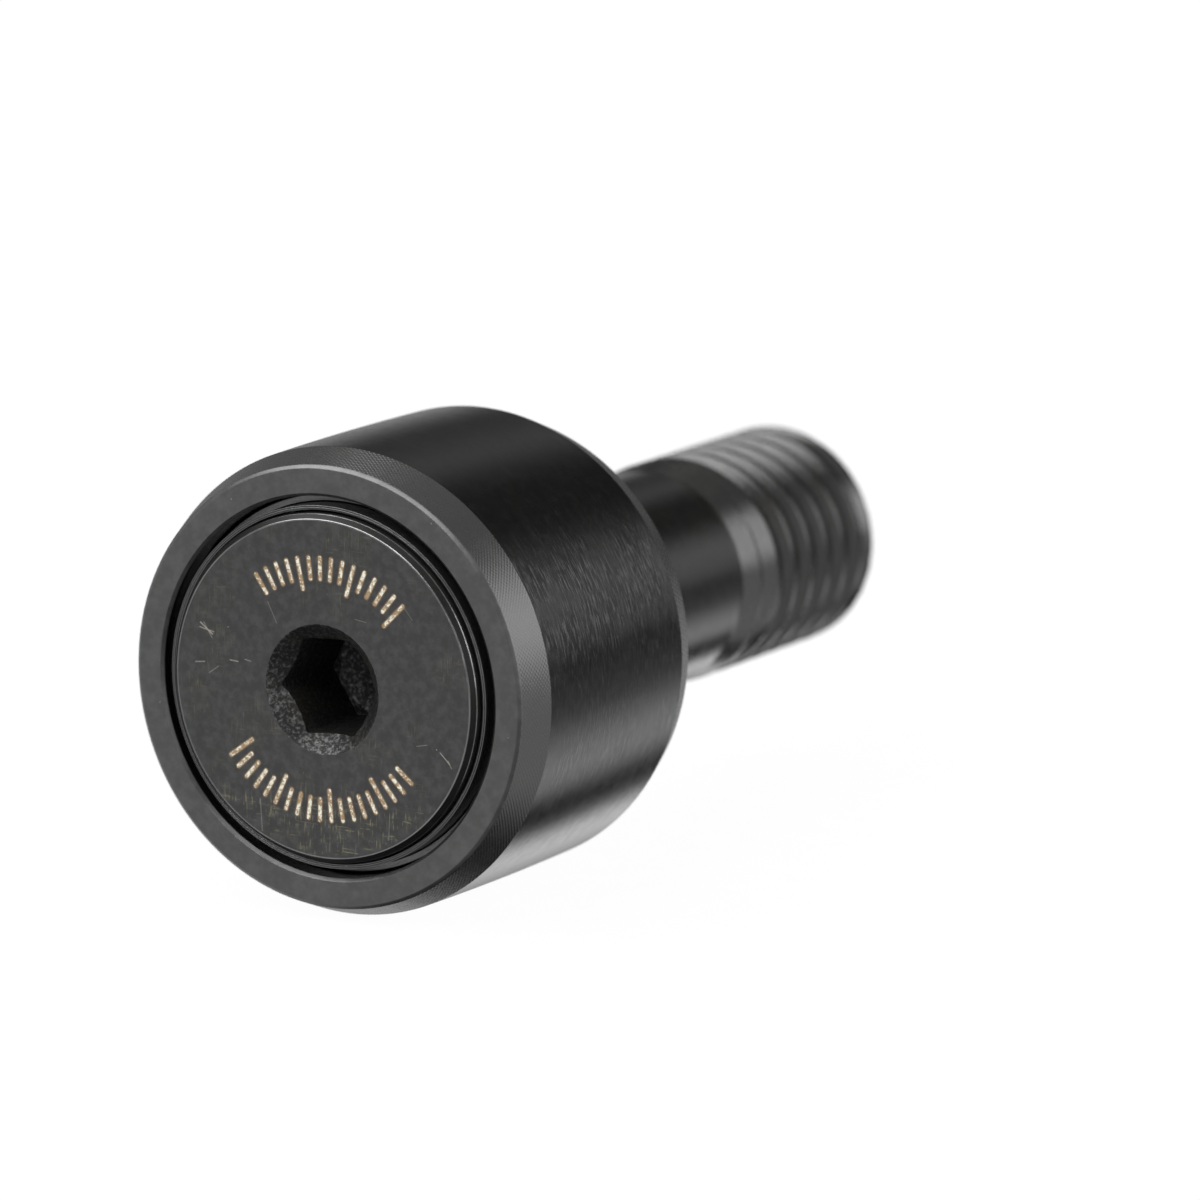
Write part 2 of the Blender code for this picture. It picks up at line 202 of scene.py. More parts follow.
# ---- node graphs -----------------------------------------------------------
class Graph:
    """A short way to write shader nodes: numbers or sockets go in, a socket comes out."""

    def __init__(self, tree):
        self.tree = tree
        tree.nodes.clear()

    def node(self, kind, **props):
        n = self.tree.nodes.new(kind)
        for k, v in props.items():
            setattr(n, k, v)
        return n

    def put(self, socket, value):
        if isinstance(value, bpy.types.NodeSocket):
            self.tree.links.new(value, socket)
        elif value is not None:
            socket.default_value = value

    def m(self, op, a, b=None, c=None, clamp=False):
        n = self.node("ShaderNodeMath", operation=op, use_clamp=clamp)
        for s, v in zip(n.inputs, (a, b, c)):
            self.put(s, v)
        return n.outputs[0]

    def add(self, *v):
        out = v[0]
        for x in v[1:]:
            out = self.m("ADD", out, x)
        return out

    def sub(self, a, b):
        return self.m("SUBTRACT", a, b)

    def mul(self, *v):
        out = v[0]
        for x in v[1:]:
            out = self.m("MULTIPLY", out, x)
        return out

    def ramp(self, v, lo, hi, a=0.0, b=1.0, smooth=True):
        n = self.node("ShaderNodeMapRange",
                      interpolation_type="SMOOTHSTEP" if smooth else "LINEAR")
        for s, x in zip(n.inputs, (v, lo, hi, a, b)):
            self.put(s, x)
        return n.outputs[0]

    def band(self, v, lo, hi, soft):
        """1 between lo and hi, with soft edges centred on them."""
        return self.mul(self.ramp(v, lo - soft / 2, lo + soft / 2),
                        self.ramp(v, hi - soft / 2, hi + soft / 2, 1.0, 0.0))

    def vec(self, x, y, z):
        n = self.node("ShaderNodeCombineXYZ")
        for s, v in zip(n.inputs, (x, y, z)):
            self.put(s, v)
        return n.outputs[0]

    def noise(self, vector, scale=1.0, detail=2.0, rough=0.5, distort=0.0):
        n = self.node("ShaderNodeTexNoise")
        self.put(n.inputs["Vector"], vector)
        n.inputs["Scale"].default_value = scale
        n.inputs["Detail"].default_value = detail
        n.inputs["Roughness"].default_value = rough
        n.inputs["Distortion"].default_value = distort
        return n.outputs[0]

    def voronoi(self, vector, scale, feature="F1", out="Distance", rand=1.0):
        n = self.node("ShaderNodeTexVoronoi", feature=feature)
        self.put(n.inputs["Vector"], vector)
        n.inputs["Scale"].default_value = scale
        n.inputs["Randomness"].default_value = rand
        return n.outputs[out]

    def mix(self, f, a, b):
        n = self.node("ShaderNodeMix", data_type="RGBA")
        self.put(n.inputs[0], f)
        for s, v in ((n.inputs[6], a), (n.inputs[7], b)):
            if isinstance(v, (tuple, list)) and len(v) == 3:
                v = (*v, 1.0)
            self.put(s, v)
        return n.outputs[2]

    def bump(self, height, distance, strength=1.0, normal=None):
        n = self.node("ShaderNodeBump")
        n.inputs["Strength"].default_value = strength
        n.inputs["Distance"].default_value = distance
        self.put(n.inputs["Height"], height)
        if normal is not None:
            self.put(n.inputs["Normal"], normal)
        return n.outputs[0]

    def axes(self):
        """x, a, z, r in mm and the angle t in degrees about the stud axis."""
        tc = self.node("ShaderNodeTexCoord")
        sep = self.node("ShaderNodeSeparateXYZ")
        self.put(sep.inputs[0], tc.outputs["Object"])
        x = self.mul(sep.outputs[0], 1000.0)
        y = self.mul(sep.outputs[1], 1000.0)
        z = self.mul(sep.outputs[2], 1000.0)
        r = self.m("SQRT", self.add(self.mul(x, x), self.mul(z, z)))
        t = self.mul(self.m("ARCTAN2", z, x), 57.29578)
        return x, self.sub(y, MID_Y), z, r, t

    def segment(self, px, pz, x0, z0, x1, z1, width):
        """Soft mask of a thin straight scratch in the plane of the two coordinates."""
        dx, dz = x1 - x0, z1 - z0
        qx, qz = self.sub(px, x0), self.sub(pz, z0)
        h = self.m("DIVIDE", self.add(self.mul(qx, dx), self.mul(qz, dz)),
                   dx * dx + dz * dz, clamp=True)
        ex, ez = self.sub(qx, self.mul(h, dx)), self.sub(qz, self.mul(h, dz))
        d = self.m("SQRT", self.add(self.mul(ex, ex), self.mul(ez, ez)))
        return self.ramp(d, 0.25 * width, width, 1.0, 0.0)


def new_material(name):
    mat = bpy.data.materials.new(name)
    mat.use_nodes = True
    g = Graph(mat.node_tree)
    out = g.node("ShaderNodeOutputMaterial")
    bsdf = g.node("ShaderNodeBsdfPrincipled")
    mat.node_tree.links.new(bsdf.outputs[0], out.inputs[0])
    return mat, g, bsdf


def set_bsdf(g, bsdf, colour, rough, ior=1.6, normal=None, metallic=0.0, spec=0.5,
             coat=None, aniso=None):
    g.put(bsdf.inputs["Base Color"], (*colour, 1.0) if isinstance(colour, tuple) else colour)
    g.put(bsdf.inputs["Roughness"], rough)
    g.put(bsdf.inputs["Metallic"], metallic)
    g.put(bsdf.inputs["IOR"], ior)
    g.put(bsdf.inputs["Specular IOR Level"], spec)
    if normal is not None:
        g.put(bsdf.inputs["Normal"], normal)
    if coat is not None:
        g.put(bsdf.inputs["Coat Weight"], coat[0])
        g.put(bsdf.inputs["Coat Roughness"], coat[1])
        g.put(bsdf.inputs["Coat IOR"], 1.45)


def specks(g, v, scale, size, share, seed=0.0):
    """Sparse small dots: one in a share of the cells, each of its own size."""
    n = g.node("ShaderNodeTexVoronoi", feature="F1")
    g.put(n.inputs["Vector"], v)
    n.inputs["Scale"].default_value = scale
    sep = g.node("ShaderNodeSeparateColor")
    g.put(sep.inputs[0], n.outputs["Color"])
    chosen = g.m("LESS_THAN", g.m("FRACT", g.add(sep.outputs[0], seed)), share)
    radius = g.ramp(sep.outputs[1], 0.0, 1.0, size * 0.45, size, False)
    dot = g.m("SUBTRACT", 1.0, g.m("DIVIDE", n.outputs["Distance"], radius), clamp=True)
    return g.mul(chosen, g.ramp(dot, 0.0, 0.5))


def black_oxide(name, lay, rough, albedo, streak, mottle, olive=0.35, face=False,
                marks=False, hatch=False, spec=0.5, brush=0.0, pits=0.0):
    """Blackened steel. lay is the bump of the turning or grinding lines round the axis."""
    mat, g, bsdf = new_material(name)
    x, a, z, r, t = g.axes()
    across = g.add(a, g.mul(r, 1.7))
    p = g.vec(x, a, z)
    # broad mottling of the oxide, and fine grain
    broad = g.noise(p, 0.55, 3.0, 0.55)
    mid = g.noise(p, 2.6, 4.0, 0.6)
    grain = g.noise(p, 26.0, 3.0, 0.6)
    # lines left by turning or grinding: long round the axis, fine across it
    lines = g.noise(g.vec(g.mul(x, 0.75), g.mul(across, 16.0), g.mul(z, 0.75)), 1.0, 3.0, 0.6)
    fine = g.noise(g.vec(g.mul(x, 2.2), g.mul(across, 42.0), g.mul(z, 2.2)), 1.0, 2.0, 0.5)
    height = g.add(g.mul(lines, lay[0]), g.mul(fine, lay[1]), g.mul(grain, lay[2]))
    if hatch:
        # two crossing sets of fine lines, as a belt leaves on the relief
        u = g.mul(g.add(g.mul(t, 0.1309), g.mul(across, 0.9)), 36.0)
        w = g.mul(g.sub(g.mul(t, 0.1309), g.mul(across, 0.9)), 36.0)
        hatch_h = g.add(g.m("SINE", u), g.m("SINE", w))
        height = g.add(height, g.mul(hatch_h, hatch))
    normal = g.bump(height, 1e-6 * streak)
    dark = tuple(albedo * k for k in (1.0, 1.0, 1.02))
    warm = tuple(albedo * k for k in (1.75, 1.62, 1.10))
    light = tuple(albedo * k for k in (1.9, 1.9, 1.95))
    colour = g.mix(g.mul(g.ramp(broad, 0.42, 0.72), olive), dark, warm)
    colour = g.mix(g.mul(g.ramp(mid, 0.50, 0.80), 0.5 * mottle), colour, light)
    rr = g.add(rough, g.mul(g.sub(mid, 0.5), 0.22 * mottle), g.mul(g.sub(grain, 0.5), 0.16 * mottle),
               g.mul(g.sub(lines, 0.5), 0.12 * mottle))
    if brush:
        # short fine rub lines along the turning: some catch the light, some don't
        hair = g.noise(g.vec(g.mul(x, 1.9), g.mul(across, 17.0), g.mul(z, 1.9)), 1.0, 2.0, 0.62)
        patch = g.noise(p, 0.8, 2.0, 0.5)
        # handled most on one side of the part
        side = g.add(0.30, g.mul(g.band(t, 3.0, 42.0, 18.0), 0.70))
        gain = g.mul(g.sub(g.ramp(hair, 0.47, 0.68), 0.22), g.ramp(patch, 0.32, 0.60, 0.30, 1.0),
                     side, brush)
        spec = g.m("MAXIMUM", g.mul(g.add(1.0, gain), spec), 0.02)
    if pits:
        # torn, grainy cut: small facets that flash or stay dark
        torn = g.noise(p, 7.0, 4.0, 0.75)
        spec = g.mul(g.ramp(torn, 0.46, 0.66, 1.0 - pits, 1.0 + 1.8 * pits), spec)
    if face:
        dust = specks(g, p, 1.3, 0.055, 0.16)
        dust2 = specks(g, p, 3.1, 0.075, 0.07, 0.37)
        dust = g.m("MAXIMUM", dust, g.mul(dust2, 0.6))
        colour = g.mix(g.mul(dust, 0.85), colour, (0.42, 0.42, 0.41))
        # worn, paler patches: the specular level rises and falls with the mottling noise
        spec = g.add(spec - 0.08, g.mul(g.ramp(mid, 0.35, 0.7), 0.14))
    if marks:
        nick = None
        for s in MARK_SCRATCHES:
            q = g.mul(g.segment(x, z, *s[:5]), s[5])
            nick = q if nick is None else g.m("MAXIMUM", nick, q)
        on_face = g.m("LESS_THAN", a, -FLANGE_FACE + 0.05)
        nick = g.mul(nick, on_face)
        colour = g.mix(nick, colour, (0.30, 0.29, 0.25))
        # patch of fine crossed rub lines low on the flange
        hx = g.noise(g.vec(g.mul(x, 17.0), g.mul(a, 1.0), g.mul(z, 1.6)), 1.0, 2.0, 0.6)
        hz = g.noise(g.vec(g.mul(x, 1.4), g.mul(a, 1.0), g.mul(z, 19.0)), 1.0, 2.0, 0.6)
        rub = g.m("MAXIMUM", g.ramp(hx, 0.58, 0.70), g.ramp(hz, 0.60, 0.72))
        low = g.mul(g.ramp(z, -3.3, -4.2), g.ramp(r, 5.75, 5.5), on_face)
        everywhere = g.mul(on_face, g.ramp(broad, 0.5, 0.65), 0.25)
        rub = g.mul(rub, g.m("MAXIMUM", g.mul(low, g.ramp(mid, 0.36, 0.58)), everywhere))
        colour = g.mix(g.mul(rub, 0.80), colour, (0.120, 0.112, 0.052))
        ink, rim = tick_marks(g, x, z, r, t)
        ink, rim = g.mul(ink, on_face), g.mul(rim, on_face)
        crumb = g.noise(p, 8.0, 4.0, 0.72)
        pale = g.mix(g.ramp(crumb, 0.40, 0.56), (0.50, 0.49, 0.41), (0.19, 0.120, 0.055))
        colour = g.mix(g.mul(rim, 0.85), colour, (0.085, 0.052, 0.022))
        colour = g.mix(ink, colour, pale)
        rr = g.add(rr, g.mul(ink, 0.3))
    set_bsdf(g, bsdf, colour, g.m("MAXIMUM", rr, 0.08), 1.6, normal, 0.0, spec)
    return mat


# scratches on the flange face, in x and z, mm: ends, width, strength
MARK_SCRATCHES = [
    (-4.75, 1.78, -4.28, 1.42, 0.030, 0.55),
    (-4.78, 1.62, -4.22, 1.50, 0.024, 0.42),
    (-4.62, 1.80, -4.30, 1.30, 0.020, 0.35),
    (-4.95, 0.42, -4.60, 0.46, 0.026, 0.40),
    (-4.42, 0.10, -4.05, 0.36, 0.018, 0.30),
    (-3.60, 0.62, -3.28, 0.60, 0.024, 0.45),
    (-3.02, 0.70, -2.78, 0.66, 0.020, 0.35),
    (4.55, -1.62, 4.92, -1.98, 0.026, 0.50),
    (4.86, -1.86, 4.98, -2.10, 0.020, 0.35),
    (3.65, -1.50, 4.05, -1.42, 0.018, 0.25),
    (-2.10, 2.75, -1.75, 2.05, 0.016, 0.22),
    (1.30, 2.50, 1.72, 2.44, 0.016, 0.25),
    (-1.05, -4.55, -0.20, -4.58, 0.014, 0.10),
    (2.55, -4.80, 2.60, -3.90, 0.018, 0.22),
    (-2.45, -3.95, -2.38, -5.05, 0.020, 0.26),
    (3.10, 3.20, 3.50, 2.70, 0.016, 0.20),
]


def tick_marks(g, x, z, r, t):
    """Two groups of plain radial graduation ticks on the flange: (core, rim)."""
    core = rim = None
    for lo, hi, step in ((42.0, 128.0, 5.733), (-147.0, -36.0, 5.842)):
        u = g.m("DIVIDE", g.sub(t, lo), step)
        cell = g.m("FLOOR", u)
        off = g.mul(g.m("ABSOLUTE", g.sub(g.sub(u, cell), 0.5)), step * math.pi / 180.0, r)
        third = g.m("LESS_THAN", g.m("FLOORED_MODULO", cell, 5.0), 0.5)
        inner = g.sub(3.72, g.mul(third, 0.32))
        ends = g.m("MAXIMUM", g.sub(inner, r), g.sub(r, 4.42))
        # distance outside the tick's centre line, with round ends
        d = g.m("SQRT", g.add(g.mul(off, off),
                              g.m("POWER", g.m("MAXIMUM", ends, 0.0), 2.0)))
        inside = g.mul(g.m("GREATER_THAN", t, lo), g.m("LESS_THAN", t, hi))
        c = g.mul(g.ramp(d, 0.050, 0.082, 1.0, 0.0), inside)
        e = g.mul(g.ramp(d, 0.080, 0.125, 1.0, 0.0), inside)
        core = c if core is None else g.m("MAXIMUM", core, c)
        rim = e if rim is None else g.m("MAXIMUM", rim, e)
    return core, rim


def seal_material():
    mat, g, bsdf = new_material("seal_black_polymer")
    x, a, z, r, t = g.axes()
    p = g.vec(x, a, z)
    ring = g.noise(g.vec(g.mul(x, 1.2), g.mul(r, 34.0), g.mul(z, 1.2)), 1.0, 3.0, 0.6)
    grain = g.noise(p, 22.0, 3.0, 0.65)
    beads = specks(g, p, 7.0, 0.16, 0.10)
    crumbs = specks(g, p, 5.0, 0.17, 0.055, 0.6)
    height = g.add(g.mul(ring, 5.0), g.mul(grain, 4.0), g.mul(beads, 14.0))
    normal = g.bump(height, 1e-6)
    colour = g.mix(g.ramp(grain, 0.45, 0.8), (0.0110, 0.0110, 0.0114), (0.0200, 0.0200, 0.0200))
    colour = g.mix(g.mul(crumbs, g.ramp(a, -5.38, -5.44), 0.75), colour, (0.34, 0.34, 0.33))
    rough = g.add(0.13, g.mul(g.sub(grain, 0.5), 0.16))
    set_bsdf(g, bsdf, colour, rough, 1.62, normal, 0.0, 0.72)
    return mat


def needle_material():
    mat, g, bsdf = new_material("needle_ground_steel")
    tc = g.node("ShaderNodeTexCoord")
    sep = g.node("ShaderNodeSeparateXYZ")
    g.put(sep.inputs[0], tc.outputs["Object"])
    x, y, z = (g.mul(s, 1000.0) for s in sep.outputs)
    lines = g.noise(g.vec(g.mul(x, 2.0), g.mul(y, 45.0), g.mul(z, 2.0)), 1.0, 3.0, 0.6)
    blot = g.noise(g.vec(x, y, z), 2.5, 3.0, 0.6)
    normal = g.bump(lines, 1.2e-6)
    colour = g.mix(g.ramp(blot, 0.4, 0.8), (0.58, 0.58, 0.59), (0.44, 0.43, 0.42))
    rough = g.add(0.16, g.mul(lines, 0.12))
    set_bsdf(g, bsdf, colour, rough, 1.5, normal, 1.0)
    return mat


# ---- pieces: the roller ----------------------------------------------------
def crown(a):
    return 7.9375 - (CROWN - math.sqrt(CROWN * CROWN - a * a))


def ring_profile():
    front = [
        (7.342, -HALF, 0.100),
        (7.465, -HALF + 0.10, 0.090),
        (crown(RELIEF_EDGE), -RELIEF_EDGE, 0.10),
    ]
    mid = [(crown(a), a, 0.0) for a in np.linspace(-RELIEF_EDGE, RELIEF_EDGE, 15)[1:-1]]
    rear = [(r, -a, f) for r, a, f in reversed(front)]
    inner = [
        (6.53, HALF, 0.035),
        (6.42, HALF - 0.11, 0.035),
        (6.42, 4.0, 0.12),
        (5.85, 4.0, 0.05),
        (5.715, 3.86, 0.05),
    ]
    inner = inner + [(r, -a, f) for r, a, f in reversed(inner)]
    return rounded(front + mid + rear + inner, True)


def seal_profile():
    top = HALF - 0.066
    base = 4.60
    pts = [
        (4.22, 4.03, 0.04),
        (6.385, 4.03, 0.05),
        (6.385, base, 0.06),
        (6.11, base, 0.05),
        (6.11, top - 0.012, 0.030),
        (6.076, top - 0.012, 0.012),
        (6.066, top - 0.042, 0.008),
        (6.056, top - 0.042, 0.008),
        (6.046, top, 0.016),
        (6.008, top, 0.020),
        (5.992, top - 0.034, 0.008),
        (5.962, top - 0.040, 0.010),
        (5.93, top - 0.075, 0.02),
        (5.93, base, 0.05),
        (4.22, base, 0.05),
    ]
    return rounded(pts, True)


def plate_profile():
    return rounded([
        (4.05, 4.63, 0.03),
        (5.88, 4.63, 0.06),
        (5.88, PLATE_FACE - 0.19, 0.06),
        (5.69, PLATE_FACE, 0.05),
        (4.20, PLATE_FACE, 0.03),
        (4.05, PLATE_FACE - 0.10, 0.03),
    ], True)


def needle_mesh():
    r, half, f = 0.76575, 3.86, 0.16
    pts = [(0.0, -half, 0.0), (r * 0.55, -half, 0.0), (r, -half, f), (r, -half + 0.5, 0.0),
           (r, half - 0.5, 0.0), (r, half, f), (r * 0.55, half, 0.0), (0.0, half, 0.0)]
    ra = np.array(rounded(pts, False, 15.0))
    t = 2 * np.pi * np.arange(48) / 48
    P = np.stack([ra[:, 0:1] * np.cos(t), np.repeat(ra[:, 1:2], 48, 1),
                  ra[:, 0:1] * np.sin(t)], -1)
    return mesh_from_grid("needle", P)


# ---- pieces: the stud ------------------------------------------------------
def soft_clamp(v, e):
    """v held to 0..1 with its two corners rounded over e."""
    v = np.asarray(v, float)
    low = np.where(v < -e, 0.0, np.where(v < e, (v + e) ** 2 / (4 * e), v))
    w = 1 - low
    return 1 - np.where(w < -e, 0.0, np.where(w < e, (w + e) ** 2 / (4 * e), w))


def thread_radius(a, phi, ph0=THREAD_PHASE):
    """Radius of the threaded end: turned blank, cut by the groove and its run-out."""
    turns = (a - ph0) / PITCH - phi / (2 * np.pi)
    u = turns - np.floor(turns)
    c = np.minimum(u, 1 - u)
    full = soft_clamp((c - 0.125) / 0.283, 0.10)
    saw = np.where(u < 0.05, 0.0, np.where(u < 0.13, (u - 0.05) / 0.08,
                   np.clip((0.99 - u) / 0.86, 0, 1)))
    s = np.clip((a - 17.84) / 0.52, 0, 1)
    s = s * s * (3 - 2 * s)
    start = np.clip((a - 16.86) / 0.10, 0, 1)
    tail = np.clip((STUD_END - a) / THREAD_TAIL, 0, 1)
    groove = np.minimum((1 - s) * 0.170 * start * saw + s * THREAD_DEPTH * full,
                        THREAD_DEPTH * tail)
    cone = NECK + (THREAD_MAJOR - NECK) * (a - CONE_FOOT) / (CONE_TOP - CONE_FOOT)
    neck = NECK + np.where(cone - NECK > 0.02, cone - NECK,
                           np.where(cone - NECK < -0.02, 0.0, (cone - NECK + 0.02) ** 2 / 0.08))
    end = THREAD_MAJOR + (STUD_END - END_BREAK - a)
    blank = np.minimum(np.minimum(neck, THREAD_MAJOR), end)
    # light handling marks on the crests
    chip = (np.sin(7.1 * phi + 3.1 * a) * np.sin(11.3 * phi - 5.7 * a + 1.0)
            * np.sin(23.0 * phi + 2.0 * a))
    dent = 0.016 * np.clip(chip - 0.35, 0, 1) * (a > 17.9)
    return np.minimum(blank, THREAD_MAJOR - groove) - dent


def stud_mesh():
    n = STEPS
    j = np.arange(n)
    phi = HEX_TURN + 2 * np.pi * j / n
    rows = []

    def ring(r, a):
        rows.append((np.broadcast_to(np.asarray(r, float), (n,)).copy(),
                     np.broadcast_to(np.asarray(a, float), (n,)).copy()))

    # hex socket, from the drill point out to the flange face
    hexa = (np.arange(n) % (n // 6)) * 2 * np.pi / n
    wall = HEX_HALF / np.cos(np.abs(hexa - math.radians(30)))
    wall = np.minimum(wall, HEX_HALF / math.cos(math.radians(30)) - 0.03)
    face = -FLANGE_FACE
    ring(0.0, face + HEX_DEPTH + 0.86)
    ring(0.35, face + HEX_DEPTH + 0.70)
    ring(HEX_HALF * 0.93, face + HEX_DEPTH + 0.02)
    ring(HEX_HALF * 0.955, face + HEX_DEPTH)
    ring(wall - 0.04, face + HEX_DEPTH)
    ring(wall - 0.01, face + HEX_DEPTH - 0.015)
    ring(wall, face + HEX_DEPTH - 0.05)
    slope = (SINK_R - HEX_HALF) / SINK_DEPTH
    lip = face + (SINK_R - wall) / slope
    # the broach drags the lip a little: a shallow wave along each flat
    lip = lip + 0.018 * np.sin(phi * 9 + 0.6) + 0.012 * np.sin(phi * 23 + 2.0)
    for k in (0.25, 0.5, 0.75, 0.93):
        ring(wall, (face + HEX_DEPTH - 0.05) * (1 - k) + (lip + 0.03) * k)
    ring(wall, lip + 0.03)
    ring(wall + 0.006, lip + 0.012)
    ring(wall + 0.022, lip - 0.006)
    edge_r = SINK_R - 0.02
    edge_a = face + 0.02 / slope
    for k in (0.12, 0.35, 0.6, 0.85, 1.0):
        r = (wall + 0.022) * (1 - k) + edge_r * k
        ring(r, (lip - 0.006) * (1 - k) + edge_a * k)
    ring(SINK_R + 0.004, face + 0.008)
    ring(SINK_R + 0.03, face)
    # flange, raceway, seat, shank and neck
    body = rounded([
        (2.6, face, 0.0),
        (4.0, face, 0.0),
        (5.69, face, 0.075),
        (5.88, face + 0.19, 0.100),
        (5.88, -4.63, 0.06),
        (4.1275, -4.63, 0.03),
        (4.1275, 4.48, 0.04),
        (4.0075, 4.60, 0.03),
        (4.02, 5.88, 0.03),
        (3.96875, 6.03, 0.03),
        (3.96875, 10.40, 0.05),
        (NECK, 10.60, 0.12),
        (NECK, 12.4, 0.0),
        (NECK, 14.2, 0.0),
        (NECK, 15.5, 0.0),
    ])
    for r, a in body:
        ring(r, a)
    # thread: rows follow the helix, so crests stay crisp
    u = np.array([0, .06, .095, .113, .125, .137, .155, .185, .225, .265, .305, .345, .375,
                  .393, .408, .423, .445, .475])
    u = np.r_[u, 0.5, 1 - u[:0:-1]]
    base = THREAD_PHASE + PITCH * HEX_TURN / (2 * np.pi)
    first = int(math.floor((15.5 - base) / PITCH)) - 1
    last = int(math.ceil((STUD_END - base) / PITCH)) + 1
    start = len(rows)
    for turn in range(first, last):
        for v in u:
            a = np.clip(base + PITCH * (turn + v + j / n), 15.5, STUD_END)
            ring(thread_radius(a, phi), a)
    stop = len(rows) - 1
    end_r = thread_radius(np.full(n, STUD_END), phi)
    ring(end_r, STUD_END)
    for k in (0.985, 0.9, 0.7, 0.4, 0.12, 0.0):
        ring(end_r * k, STUD_END)
    R = np.array([q[0] for q in rows])
    A = np.array([q[1] for q in rows])
    P = np.stack([R * np.cos(phi), A + MID_Y, -R * np.sin(phi)], -1)
    # a helical row ends where the row one pitch further on begins
    wrap = np.arange(len(rows))
    wrap[start:stop + 1] = np.minimum(wrap[start:stop + 1] + len(u), stop)
    return mesh_from_grid("stud_turned", P, True, False, 38.0, wrap)


# ---- materials and assembly ------------------------------------------------
roller_steel = black_oxide("roller_black_oxide", (3.4, 1.2, 0.12), 0.17, 0.0028, 1.0, 0.8, 0.25, brush=2.2)
roller_face = black_oxide("roller_side_face", (0.8, 0.4, 0.45), 0.36, 0.0065, 1.0, 0.6, 0.22, face=True, spec=0.60)
relief_steel = black_oxide("roller_relief", (0.7, 0.4, 0.35), 0.27, 0.0045, 1.0, 0.6, 0.25, hatch=1.40)
flange_steel = black_oxide("flange_black_oxide", (0.5, 0.3, 0.50), 0.37, 0.0060, 1.0, 0.6, 0.25, face=True, marks=True, spec=0.40)
socket_steel = black_oxide("socket_broached", (3.0, 2.0, 9.0), 0.40, 0.0062, 1.0, 1.6, 0.60, spec=0.30, pits=0.70)
shank_steel = black_oxide("stud_black_oxide", (0.9, 0.4, 0.40), 0.20, 0.0030, 1.0, 0.9, 0.45)
thread_steel = black_oxide("thread_black_oxide", (0.8, 0.5, 1.0), 0.22, 0.0032, 1.0, 1.4, 0.75, spec=0.44)
plate_steel = black_oxide("plate_black_oxide", (0.7, 0.35, 0.40), 0.36, 0.0060, 1.0, 0.7, 0.35)
chamfer_steel = black_oxide("flange_edge_oxide", (0.8, 0.4, 0.8), 0.34, 0.0045, 1.0, 1.2, 0.30, spec=0.09)
corner_steel = black_oxide("flange_corner_worn", (0.8, 0.4, 3.0), 0.15, 0.0060, 1.0, 1.2, 0.30, spec=1.15, brush=1.4)
seal_black = seal_material()
needle_steel = needle_material()


def by_place(mesh, chooser):
    """Gives each face the material slot its middle asks for."""
    n = len(mesh.polygons)
    c = np.zeros(n * 3)
    mesh.polygons.foreach_get("center", c)
    c = c.reshape(-1, 3) / MM
    r = np.hypot(c[:, 0], c[:, 2])
    mesh.polygons.foreach_set("material_index", chooser(r, c[:, 1] - MID_Y).astype(np.int32))


ring = turned_mesh("outer_ring_turned", ring_profile(), close_rows=True)
piece("roller_outer_ring", ring, "roller", [roller_steel, roller_face, relief_steel],
      "roller_steel", "outer_ring")
by_place(ring, lambda r, a: np.where((np.abs(a) > HALF - 0.15) & (r < 7.475), 1,
                                     np.where((r > 7.44) & (np.abs(a) > RELIEF_EDGE), 2, 0)))

stud = stud_mesh()
piece("stud_flanged", stud, "stud_assembly", [flange_steel, socket_steel, shank_steel, thread_steel,
                                      chamfer_steel, corner_steel], "stud_steel", "stud")
by_place(stud, lambda r, a: np.where((r < SINK_R - 0.005) & (a < 0), 1,
                                     np.where((a < -4.6) & (r > 5.715) & (r < 5.85), 4,
                                              np.where((a < -4.6) & (r > 5.655) & (r < 5.877), 5,
                                                       np.where(a < -4.6, 0,
                                                                np.where(a < 15.75, 2, 3))))))

piece("rear_plate", turned_mesh("rear_plate_turned", plate_profile(), close_rows=True),
      "stud_assembly", plate_steel, "plate_steel", "rear_end_plate")
rear_seal = turned_mesh("rear_seal_lips", seal_profile(), close_rows=True)
piece("seal_rear", rear_seal, "roller", seal_black, "seal_polymer", "rear_seal_disc")
front_profile = [(r, -a) for r, a in reversed(seal_profile())]
piece("seal_front", turned_mesh("front_seal_lips", front_profile, close_rows=True),
      "roller", seal_black, "seal_polymer", "front_seal_disc")

needle = needle_mesh()
for i in range(19):
    node = "needle_roller_%02d" % (i + 1)
    lo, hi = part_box(node)
    mid = (lo + hi) / 2
    ob = bpy.data.objects.new("needle_%02d_ground" % (i + 1), needle if i == 0 else needle.copy())
    bpy.context.scene.collection.objects.link(ob)
    ob.data.materials.clear()
    ob.data.materials.append(needle_steel)
    ob.location = mid
    ob.rotation_euler = (0.0, 2.399 * i, 0.0)
    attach(ob, "needle_set" if i == 0 else "needle_%02d" % (i + 1))
    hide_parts(node)


